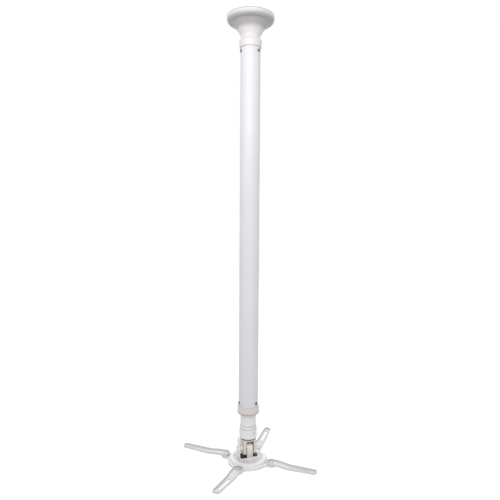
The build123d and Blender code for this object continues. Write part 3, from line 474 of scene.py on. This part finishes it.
def edge_rub_group():
    """Mask of the corners where handling has thinned or polished a finish."""
    group, inside, outside = new_group(
        "Edge Rub",
        inputs=[("Vector", VECTOR, None), ("Width", VALUE, 0.0008)],
        outputs=["Mask"],
    )
    edge_cosines = (0.995, 0.85)
    worn_noise = (0.4, 0.65)
    bevel = group.nodes.new("ShaderNodeBevel")
    bevel.samples = 4
    group.links.new(inside.outputs["Width"], bevel.inputs["Radius"])
    facing = group.nodes.new("ShaderNodeNewGeometry")
    dot = group.nodes.new("ShaderNodeVectorMath")
    dot.operation = "DOT_PRODUCT"
    group.links.new(bevel.outputs["Normal"], dot.inputs[0])
    group.links.new(facing.outputs["Normal"], dot.inputs[1])
    edge = range_node(group, dot.outputs["Value"], edge_cosines)
    noise = noise_node(group, inside.outputs["Vector"], scale=300.0, detail=4.0)
    broken = range_node(group, noise, worn_noise)
    group.links.new(math_node(group, "MULTIPLY", edge, broken), outside.inputs["Mask"])
    return group


def brush_lines_group():
    """Fine polishing lines, drawn out along one direction by the stretch of the vector, and slow smears."""
    group, inside, outside = new_group(
        "Brush Lines",
        inputs=[("Vector", VECTOR, None), ("Stretch", VECTOR, (1.0, 1.0, 1.0))],
        outputs=["Lines", "Smear"],
    )
    scaled = group.nodes.new("ShaderNodeVectorMath")
    scaled.operation = "MULTIPLY"
    group.links.new(inside.outputs["Vector"], scaled.inputs[0])
    group.links.new(inside.outputs["Stretch"], scaled.inputs[1])
    lines = noise_node(group, scaled.outputs["Vector"], scale=1.0, detail=3.0, roughness=0.6)
    smear = noise_node(group, inside.outputs["Vector"], scale=70.0, detail=3.0)
    group.links.new(lines, outside.inputs["Lines"])
    group.links.new(range_node(group, smear, WIDE_SPAN), outside.inputs["Smear"])
    return group


def turned_band_group():
    """Masks of bands about the mast: one between two heights and one between two distances from its axis."""
    group, inside, outside = new_group(
        "Turned Band",
        inputs=[("Vector", VECTOR, None), ("Low", VALUE, 0.0), ("High", VALUE, 1.0), ("Soft", VALUE, 0.001)],
        outputs=["Height Band", "Radius Band"],
    )
    low, high, soft = (inside.outputs[label] for label in ("Low", "High", "Soft"))
    parts = group.nodes.new("ShaderNodeSeparateXYZ")
    group.links.new(inside.outputs["Vector"], parts.inputs["Vector"])
    across = math_node(group, "POWER", parts.outputs["X"], 2.0)
    across = math_node(group, "ADD", across, math_node(group, "POWER", parts.outputs["Y"], 2.0))
    radius = math_node(group, "SQRT", across, 0.0)
    low_foot = math_node(group, "SUBTRACT", low, soft)
    high_foot = math_node(group, "ADD", high, soft)
    for value, label in ((parts.outputs["Z"], "Height Band"), (radius, "Radius Band")):
        rise = range_node(group, value, (low_foot, low), RISING)
        fall = range_node(group, value, (high, high_foot), FALLING)
        group.links.new(math_node(group, "MULTIPLY", rise, fall), outside.inputs[label])
    return group


GROUP_MAKERS = {
    "Orange Peel": orange_peel_group,
    "Crevice Dust And Shade": crevice_dust_and_shade_group,
    "Edge Rub": edge_rub_group,
    "Brush Lines": brush_lines_group,
    "Turned Band": turned_band_group,
}


def place_group(tree, name, vector, **values):
    """Puts a shared node group into a material, with its own values. Returns the node."""
    group = bpy.data.node_groups.get(name) or GROUP_MAKERS[name]()
    node = tree.nodes.new("ShaderNodeGroup")
    node.node_tree = group
    tree.links.new(vector, node.inputs["Vector"])
    for label, value in values.items():
        node.inputs[label].default_value = value
    return node


# Materials

def new_material(name):
    """An empty material with a Principled shader. Returns it, its tree, the shader and Object coordinates."""
    material = bpy.data.materials.new(name)
    material.use_nodes = True
    tree = material.node_tree
    tree.nodes.clear()
    output = tree.nodes.new("ShaderNodeOutputMaterial")
    shader = tree.nodes.new("ShaderNodeBsdfPrincipled")
    tree.links.new(shader.outputs["BSDF"], output.inputs["Surface"])
    place = tree.nodes.new("ShaderNodeTexCoord").outputs["Object"]
    return material, tree, shader, place


def add_bump(tree, shader, height, strength, distance):
    """Bump on a shader's normal."""
    bump = tree.nodes.new("ShaderNodeBump")
    bump.inputs["Strength"].default_value = strength
    bump.inputs["Distance"].default_value = distance
    tree.links.new(height, bump.inputs["Height"])
    tree.links.new(bump.outputs["Normal"], shader.inputs["Normal"])


def tint(tree, tone, mask, colour, amount):
    """Blends an amount of a colour into a tone where a mask lies. Returns the new tone."""
    return blend_node(tree, math_node(tree, "MULTIPLY", mask, amount), tone, colour)


def speckled_ring(tree, place, level):
    """Mask of a speckled ring about the mast, on the face at one height."""
    look = bpy.context.scene.mount_finish
    clotted = (0.47, 0.57)
    thickest = 0.8
    inner, outer = look.speckle_inner, look.speckle_outer
    band = place_group(tree, "Turned Band", place, Low=inner, High=outer, Soft=SPECKLE_SOFT)
    low, high = spread(level, below=FACE_HALF_DEPTH, above=FACE_HALF_DEPTH)
    face = place_group(tree, "Turned Band", place, Low=low, High=high, Soft=FACE_SOFT)
    noise = noise_node(tree, place, scale=420.0, detail=2.0, roughness=0.6)
    specks = range_node(tree, noise, clotted, (0.0, thickest))
    mask = math_node(tree, "MULTIPLY", band.outputs["Radius Band"], specks)
    return math_node(tree, "MULTIPLY", mask, face.outputs["Height Band"])


def grime_line(tree, place, level):
    """Mask of a patchy line of grime round the mast at one height."""
    thinnest, thickest = 0.15, 0.6
    low, high = spread(level, below=GRIME_HALF_WIDTH, above=GRIME_HALF_WIDTH)
    line = place_group(tree, "Turned Band", place, Low=low, High=high, Soft=GRIME_SOFT)
    noise = noise_node(tree, place, scale=240.0, detail=3.0)
    patches = range_node(tree, noise, MIDDLE_SPAN, (thinnest, thickest))
    return math_node(tree, "MULTIPLY", line.outputs["Height Band"], patches)


def powder_coat(name, colour, dust_and_shade_settings, ring_levels=(), joint_levels=()):
    """White powder coat: fine orange peel, a faint drift of tone, dust and painted shade in the joints and
    rubbed edges.

    ring_levels are the heights of faces with a speckled ring, and joint_levels the heights of joints with a
    line of grime.
    """
    look = bpy.context.scene.mount_finish
    material, tree, shader, place = new_material(name)
    peel = place_group(tree, "Orange Peel", place, Grain=look.coat_grain)
    dust = place_group(tree, "Crevice Dust And Shade", place, **dust_and_shade_settings)
    rub = place_group(tree, "Edge Rub", place, Width=RUB_WIDTH)
    tone = blend_node(tree, peel.outputs["Drift"], shade(colour), shade(colour, factor=0.972))
    tone = tint(tree, tone, peel.outputs["Speck"], shade(colour, factor=0.55), amount=0.05)
    tone = tint(tree, tone, rub.outputs["Mask"], shade(colour, factor=1.06), amount=0.35)
    for level in ring_levels:
        tone = blend_node(tree, speckled_ring(tree, place, level), tone, shade(look.speckle_colour))
    for level in joint_levels:
        tone = blend_node(tree, grime_line(tree, place, level), tone, shade(look.grime_colour))
    # Dust and painted shade: corners and joints darkened towards the dust colour
    tone = blend_node(tree, dust.outputs["Mask"], tone, shade(look.coat_dust_and_shade_colour))
    tree.links.new(tone, shader.inputs["Base Color"])
    rough_span = spread(look.coat_roughness, below=0.04, above=0.06)
    rough = range_node(tree, peel.outputs["Drift"], RISING, rough_span)
    polish = math_node(tree, "MULTIPLY", rub.outputs["Mask"], RUB_POLISH)
    tree.links.new(math_node(tree, "SUBTRACT", rough, polish), shader.inputs["Roughness"])
    add_bump(tree, shader, peel.outputs["Height"], strength=0.10, distance=SKIN_RELIEF)
    return material


def moulded_plastic(name, colour, bands):
    """White moulded plastic: glossy, with faint flow marks, dust and painted shade in the joints and tinted
    bands of heights.

    Each band is its colour, its lowest and highest level and the width of its soft edges.
    """
    look = bpy.context.scene.mount_finish
    material, tree, shader, place = new_material(name)
    peel = place_group(tree, "Orange Peel", place, Grain=look.plastic_grain)
    dust = place_group(tree, "Crevice Dust And Shade", place, **PLASTIC_DUST_AND_SHADE)
    tone = blend_node(tree, peel.outputs["Drift"], shade(colour), shade(colour, factor=0.96))
    for band_colour, low, high, soft in bands:
        band = place_group(tree, "Turned Band", place, Low=low, High=high, Soft=soft)
        tone = blend_node(tree, band.outputs["Height Band"], tone, shade(band_colour))
    # Dust and painted shade: corners and joints darkened towards the dust colour
    tone = blend_node(tree, dust.outputs["Mask"], tone, shade(look.plastic_dust_and_shade_colour))
    tree.links.new(tone, shader.inputs["Base Color"])
    rough_span = spread(look.plastic_roughness, below=0.03, above=0.05)
    rough = range_node(tree, peel.outputs["Drift"], RISING, rough_span)
    tree.links.new(rough, shader.inputs["Roughness"])
    shader.inputs["IOR"].default_value = PLASTIC_IOR
    add_bump(tree, shader, peel.outputs["Height"], strength=0.05, distance=SKIN_RELIEF)
    return material


def plated_metal(name, colour, stretch, metallic, rough_span, smear, relief):
    """Plated or darkened metal: polishing lines, slow smears in the tone and dust and painted shade in the
    joints.

    stretch is how often the lines change along each axis, smear the brightness of the smears and relief the
    depth of the lines.
    """
    material, tree, shader, place = new_material(name)
    lines = place_group(tree, "Brush Lines", place, Stretch=stretch)
    dust = place_group(tree, "Crevice Dust And Shade", place, **METAL_DUST_AND_SHADE)
    strongest_streak = 0.25
    tone = blend_node(tree, lines.outputs["Smear"], shade(colour), shade(colour, factor=smear))
    streaks = range_node(tree, lines.outputs["Lines"], MIDDLE_SPAN, (0.0, strongest_streak))
    tone = blend_node(tree, streaks, tone, shade(colour, factor=0.75))
    # Dust and painted shade: corners and joints darkened towards 15% of the colour
    tone = blend_node(tree, dust.outputs["Mask"], tone, shade(colour, factor=0.15))
    tree.links.new(tone, shader.inputs["Base Color"])
    shader.inputs["Metallic"].default_value = metallic
    rough = range_node(tree, lines.outputs["Lines"], WIDE_SPAN, rough_span)
    tree.links.new(rough, shader.inputs["Roughness"])
    add_bump(tree, shader, lines.outputs["Lines"], strength=relief, distance=LINE_RELIEF)
    return material


def soft_black(name, colour, grain, roughness):
    """Black rubber or nylon: dull, with a fine skin and grey dust in places."""
    look = bpy.context.scene.mount_finish
    material, tree, shader, place = new_material(name)
    peel = place_group(tree, "Orange Peel", place, Grain=grain)
    tone = blend_node(tree, peel.outputs["Drift"], shade(colour), shade(colour, factor=2.2))
    tone = tint(tree, tone, peel.outputs["Speck"], shade(look.rubber_dust_colour), amount=0.2)
    tree.links.new(tone, shader.inputs["Base Color"])
    rough_span = spread(roughness, below=0.05, above=0.1)
    rough = range_node(tree, peel.outputs["Drift"], RISING, rough_span)
    tree.links.new(rough, shader.inputs["Roughness"])
    add_bump(tree, shader, peel.outputs["Height"], strength=0.25, distance=SKIN_RELIEF)
    return material


def give(names, material):
    """Gives a material to CAD nodes."""
    for name in names:
        node = NODES[name]
        if not node.material_slots:
            node.data.materials.append(material)
        for slot in node.material_slots:
            slot.material = material


# Steps

class MOUNT_OT_paint(Operator):
    """Paint the tubes, cup, bracket, plate and arms"""

    bl_idname = "mount.paint"
    bl_label = "Paint the metal"

    def execute(self, context):
        look = context.scene.mount_finish
        joints = (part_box("stop_ring")[1][2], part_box("stop_ring")[0][2])
        plate_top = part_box("base_plate")[1][2]
        give(TUBE_NODES, powder_coat("tube_coat", look.tube_colour, MAST_DUST_AND_SHADE))
        give(SWIVEL_NODES, powder_coat("swivel_coat", look.swivel_colour, MAST_DUST_AND_SHADE, joint_levels=joints))
        give(BRACKET_NODES, powder_coat("bracket_coat", look.base_colour, BRACKET_DUST_AND_SHADE))
        give(PLATE_NODES, powder_coat("plate_coat", look.base_colour, PLATE_DUST_AND_SHADE, ring_levels=(plate_top,)))
        give(ARM_NODES, powder_coat("arm_coat", look.arm_colour, ARM_DUST_AND_SHADE))
        return {"FINISHED"}


class MOUNT_OT_mould(Operator):
    """Mould the canopy and the collars"""

    bl_idname = "mount.mould"
    bl_label = "Mould the canopy and collars"

    def execute(self, context):
        look = context.scene.mount_finish
        canopy_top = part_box("canopy_cover")[1][2]
        top_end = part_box("top_collar")[1][2]
        bottom_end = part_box("bottom_collar")[0][2]
        # Painted shadow line at the canopy's rim and painted shade on its underside behind the lip
        rim_shadow = (look.rim_shadow_colour, canopy_top - RIM_SHADOW_DEPTH, canopy_top, RIM_SHADOW_SOFT)
        underside_low, underside_high = canopy_top - UNDERSIDE_SHADE_END, canopy_top - UNDERSIDE_SHADE_START
        underside = (look.canopy_painted_shade_colour, underside_low, underside_high, UNDERSIDE_SHADE_SOFT)
        top_ring = (look.collar_colour, top_end - TOP_RING_DEPTH, top_end, TOP_RING_SOFT)
        bottom_ring = (look.collar_end_colour, bottom_end, bottom_end + BOTTOM_RING_DEPTH, BOTTOM_RING_SOFT)
        canopy = moulded_plastic("canopy_plastic", look.canopy_colour, [underside, rim_shadow])
        top_collar = moulded_plastic("top_collar_plastic", look.canopy_colour, [top_ring])
        bottom_collar = moulded_plastic("bottom_collar_plastic", look.collar_colour, [bottom_ring])
        give(CANOPY_NODES, canopy)
        give(TOP_COLLAR_NODES, top_collar)
        give(BOTTOM_COLLAR_NODES, bottom_collar)
        return {"FINISHED"}


class MOUNT_OT_plate_hinge(Operator):
    """Plate the tilt hinge"""

    bl_idname = "mount.plate_hinge"
    bl_label = "Plate the hinge"

    def execute(self, context):
        look = context.scene.mount_finish
        ear = plated_metal(
            "ear_nickel", look.ear_colour, UPRIGHT_LINES,
            metallic=0.40, rough_span=(0.40, 0.55), smear=0.92, relief=0.05,
        )
        # Painted light: the spacer takes a paler nickel than the ear to light up the shade beside the tab
        spacer = plated_metal(
            "spacer_nickel_painted_light", look.spacer_painted_light_colour, UPRIGHT_LINES,
            metallic=0.15, rough_span=(0.40, 0.55), smear=0.95, relief=0.05,
        )
        tang = plated_metal(
            "tang_nickel", look.tang_colour, UPRIGHT_LINES,
            metallic=0.80, rough_span=(0.30, 0.45), smear=0.95, relief=0.04,
        )
        give(EAR_NODES, ear)
        give(SPACER_NODES, spacer)
        give(TANG_NODES, tang)
        return {"FINISHED"}


class MOUNT_OT_finish_fasteners(Operator):
    """Finish the screws, nuts, washers and the plug"""

    bl_idname = "mount.finish_fasteners"
    bl_label = "Finish the fasteners"

    def execute(self, context):
        look = context.scene.mount_finish
        zinc = plated_metal(
            "zinc_plate", look.zinc_colour, EVEN_LINES,
            metallic=0.75, rough_span=(0.38, 0.55), smear=0.85, relief=0.08,
        )
        darkened = plated_metal(
            "darkened_steel", look.screw_colour, EVEN_LINES,
            metallic=1.0, rough_span=(0.28, 0.45), smear=0.6, relief=0.08,
        )
        give(ZINC_NODES, zinc)
        give(SCREW_NODES, darkened)
        return {"FINISHED"}


class MOUNT_OT_fit_rubber(Operator):
    """Fit the rubber washers, the pads and the nylon glide"""

    bl_idname = "mount.fit_rubber"
    bl_label = "Fit the rubber and nylon"

    def execute(self, context):
        look = context.scene.mount_finish
        give(RUBBER_NODES, soft_black("black_rubber", look.rubber_colour, grain=1500.0, roughness=0.62))
        give(NYLON_NODES, soft_black("black_nylon", look.rubber_colour, grain=700.0, roughness=0.42))
        return {"FINISHED"}


# Studio

def studio_lamp(name, place, aim, size, power, tint_colour):
    """A soft lamp of a given width and height that faces a height on the mast."""
    data = bpy.data.lights.new(name, "AREA")
    data.shape = "RECTANGLE"
    data.size, data.size_y = size
    data.energy = power
    data.color = tint_colour
    lamp = bpy.data.objects.new(name, data)
    lamp.visible_camera = False
    lamp.location = place
    towards = Vector((0.0, 0.0, aim)) - Vector(place)
    lamp.rotation_euler = towards.to_track_quat("-Z", "Y").to_euler()
    bpy.context.scene.collection.objects.link(lamp)


def background_rays(tree):
    """A mask of the rays that should see the plain white background."""
    path = tree.nodes.new("ShaderNodeLightPath")
    seen = math_node(tree, "MAXIMUM", path.outputs["Is Camera Ray"], path.outputs["Is Glossy Ray"])
    return math_node(tree, "MAXIMUM", seen, path.outputs["Is Transmission Ray"])


def studio_world(studio):
    """Soft light, a little stronger from the left, and white where the camera and reflections see it."""
    world = bpy.data.worlds.new("studio_sky")
    bpy.context.scene.world = world
    world.use_nodes = True
    tree = world.node_tree
    tree.nodes.clear()
    output = tree.nodes.new("ShaderNodeOutputWorld")
    parts = tree.nodes.new("ShaderNodeSeparateXYZ")
    tree.links.new(tree.nodes.new("ShaderNodeTexCoord").outputs["Generated"], parts.inputs["Vector"])
    light = tree.nodes.new("ShaderNodeBackground")
    light.inputs["Color"].default_value = shade(studio.sky_colour)
    left = studio.sky_strength * (1.0 + studio.sky_lean)
    right = studio.sky_strength * (1.0 - studio.sky_lean)
    left_to_right = (-1.0, 1.0)
    strength = range_node(tree, parts.outputs["X"], left_to_right, (left, right))
    tree.links.new(strength, light.inputs["Strength"])
    white = tree.nodes.new("ShaderNodeBackground")
    white.inputs["Color"].default_value = WHITE
    mix = tree.nodes.new("ShaderNodeMixShader")
    tree.links.new(background_rays(tree), mix.inputs["Fac"])
    tree.links.new(light.outputs[0], mix.inputs[1])
    tree.links.new(white.outputs[0], mix.inputs[2])
    tree.links.new(mix.outputs[0], output.inputs["Surface"])


def studio_floor(studio):
    """A wide pale floor that keeps shadows and is topped up to white where it is seen."""
    bm = bmesh.new()
    bmesh.ops.create_grid(bm, x_segments=FLOOR_CELLS, y_segments=FLOOR_CELLS, size=FLOOR_HALF_WIDTH)
    bmesh.ops.translate(bm, verts=bm.verts, vec=(0.0, 0.0, studio.floor_height))
    mesh = bpy.data.meshes.new("studio_floor")
    bm.to_mesh(mesh)
    bm.free()
    floor = bpy.data.objects.new("studio_floor", mesh)
    bpy.context.scene.collection.objects.link(floor)
    material, tree, shader, place = new_material("pale_floor")
    patches = noise_node(tree, place, scale=1.5, detail=3.0)
    tone = blend_node(tree, patches, shade(studio.floor_colour), shade(studio.floor_patch_colour))
    tree.links.new(tone, shader.inputs["Base Color"])
    shader.inputs["Roughness"].default_value = FLOOR_ROUGHNESS
    glow = tree.nodes.new("ShaderNodeEmission")
    glow.inputs["Color"].default_value = WHITE
    strength = math_node(tree, "MULTIPLY", background_rays(tree), studio.floor_glow)
    tree.links.new(strength, glow.inputs["Strength"])
    both = tree.nodes.new("ShaderNodeAddShader")
    tree.links.new(shader.outputs["BSDF"], both.inputs[0])
    tree.links.new(glow.outputs["Emission"], both.inputs[1])
    tree.links.new(both.outputs[0], tree.nodes["Material Output"].inputs["Surface"])
    mesh.materials.append(material)


def studio_camera(studio):
    """A camera at the photograph's place."""
    data = bpy.data.cameras.new("studio_camera")
    data.sensor_width = SENSOR_WIDTH
    data.lens = studio.camera_lens
    data.clip_start = VIEW_START
    data.clip_end = VIEW_END
    data.dof.use_dof = False
    camera = bpy.data.objects.new("studio_camera", data)
    turn = studio.camera_yaw - studio.camera_turn
    pitch = studio.camera_pitch
    forward = Vector((math.sin(turn) * math.cos(pitch), math.cos(turn) * math.cos(pitch), -math.sin(pitch)))
    right = Vector((math.cos(turn), -math.sin(turn), 0.0))
    up = right.cross(forward)
    lean = studio.camera_roll
    side = right * math.cos(lean) + up * math.sin(lean)
    top = up * math.cos(lean) - right * math.sin(lean)
    place = Matrix((side, top, -forward)).transposed().to_4x4()
    place.translation = (
        studio.camera_distance * math.sin(studio.camera_turn),
        -studio.camera_distance * math.cos(studio.camera_turn),
        studio.camera_height,
    )
    camera.matrix_world = place
    bpy.context.scene.collection.objects.link(camera)
    bpy.context.scene.camera = camera


class MOUNT_OT_studio(Operator):
    """Set the camera, the lamps, the floor and the white background"""

    bl_idname = "mount.studio"
    bl_label = "Set the studio"

    def execute(self, context):
        studio = context.scene.mount_studio
        context.scene.view_settings.view_transform = "Standard"
        studio_world(studio)
        studio_floor(studio)
        studio_camera(studio)
        lamps = (
            ("key_lamp", studio.key_place, studio.key_aim, studio.key_size, studio.key_power),
            ("fill_lamp", studio.fill_place, studio.fill_aim, studio.fill_size, studio.fill_power),
            ("back_lamp", studio.back_place, studio.back_aim, studio.back_size, studio.back_power),
        )
        for lamp in lamps:
            studio_lamp(*lamp, studio.lamp_colour)
        return {"FINISHED"}


STEPS = (
    MOUNT_OT_paint, MOUNT_OT_mould, MOUNT_OT_plate_hinge, MOUNT_OT_finish_fasteners, MOUNT_OT_fit_rubber,
    MOUNT_OT_studio,
)


class MOUNT_PT_sidebar(Panel):
    """Steps and settings of the ceiling mount"""

    bl_idname = "MOUNT_PT_sidebar"
    bl_label = "Ceiling Mount"
    bl_space_type = "VIEW_3D"
    bl_region_type = "UI"
    bl_category = "Ceiling Mount"

    def draw(self, context):
        layout = self.layout
        for step in STEPS:
            layout.operator(step.bl_idname)
        for settings in (context.scene.mount_finish, context.scene.mount_studio):
            box = layout.box()
            for field in settings.__annotations__:
                box.prop(settings, field)


CLASSES = (FinishSettings, StudioSettings) + STEPS + (MOUNT_PT_sidebar,)


def register():
    for item in CLASSES:
        bpy.utils.register_class(item)
    bpy.types.Scene.mount_finish = PointerProperty(type=FinishSettings)
    bpy.types.Scene.mount_studio = PointerProperty(type=StudioSettings)


def unregister():
    del bpy.types.Scene.mount_studio
    del bpy.types.Scene.mount_finish
    for item in reversed(CLASSES):
        bpy.utils.unregister_class(item)


def main():
    register()
    bpy.ops.mount.paint()
    bpy.ops.mount.mould()
    bpy.ops.mount.plate_hinge()
    bpy.ops.mount.finish_fasteners()
    bpy.ops.mount.fit_rubber()
    bpy.ops.mount.studio()


if __name__ == "__main__":
    main()
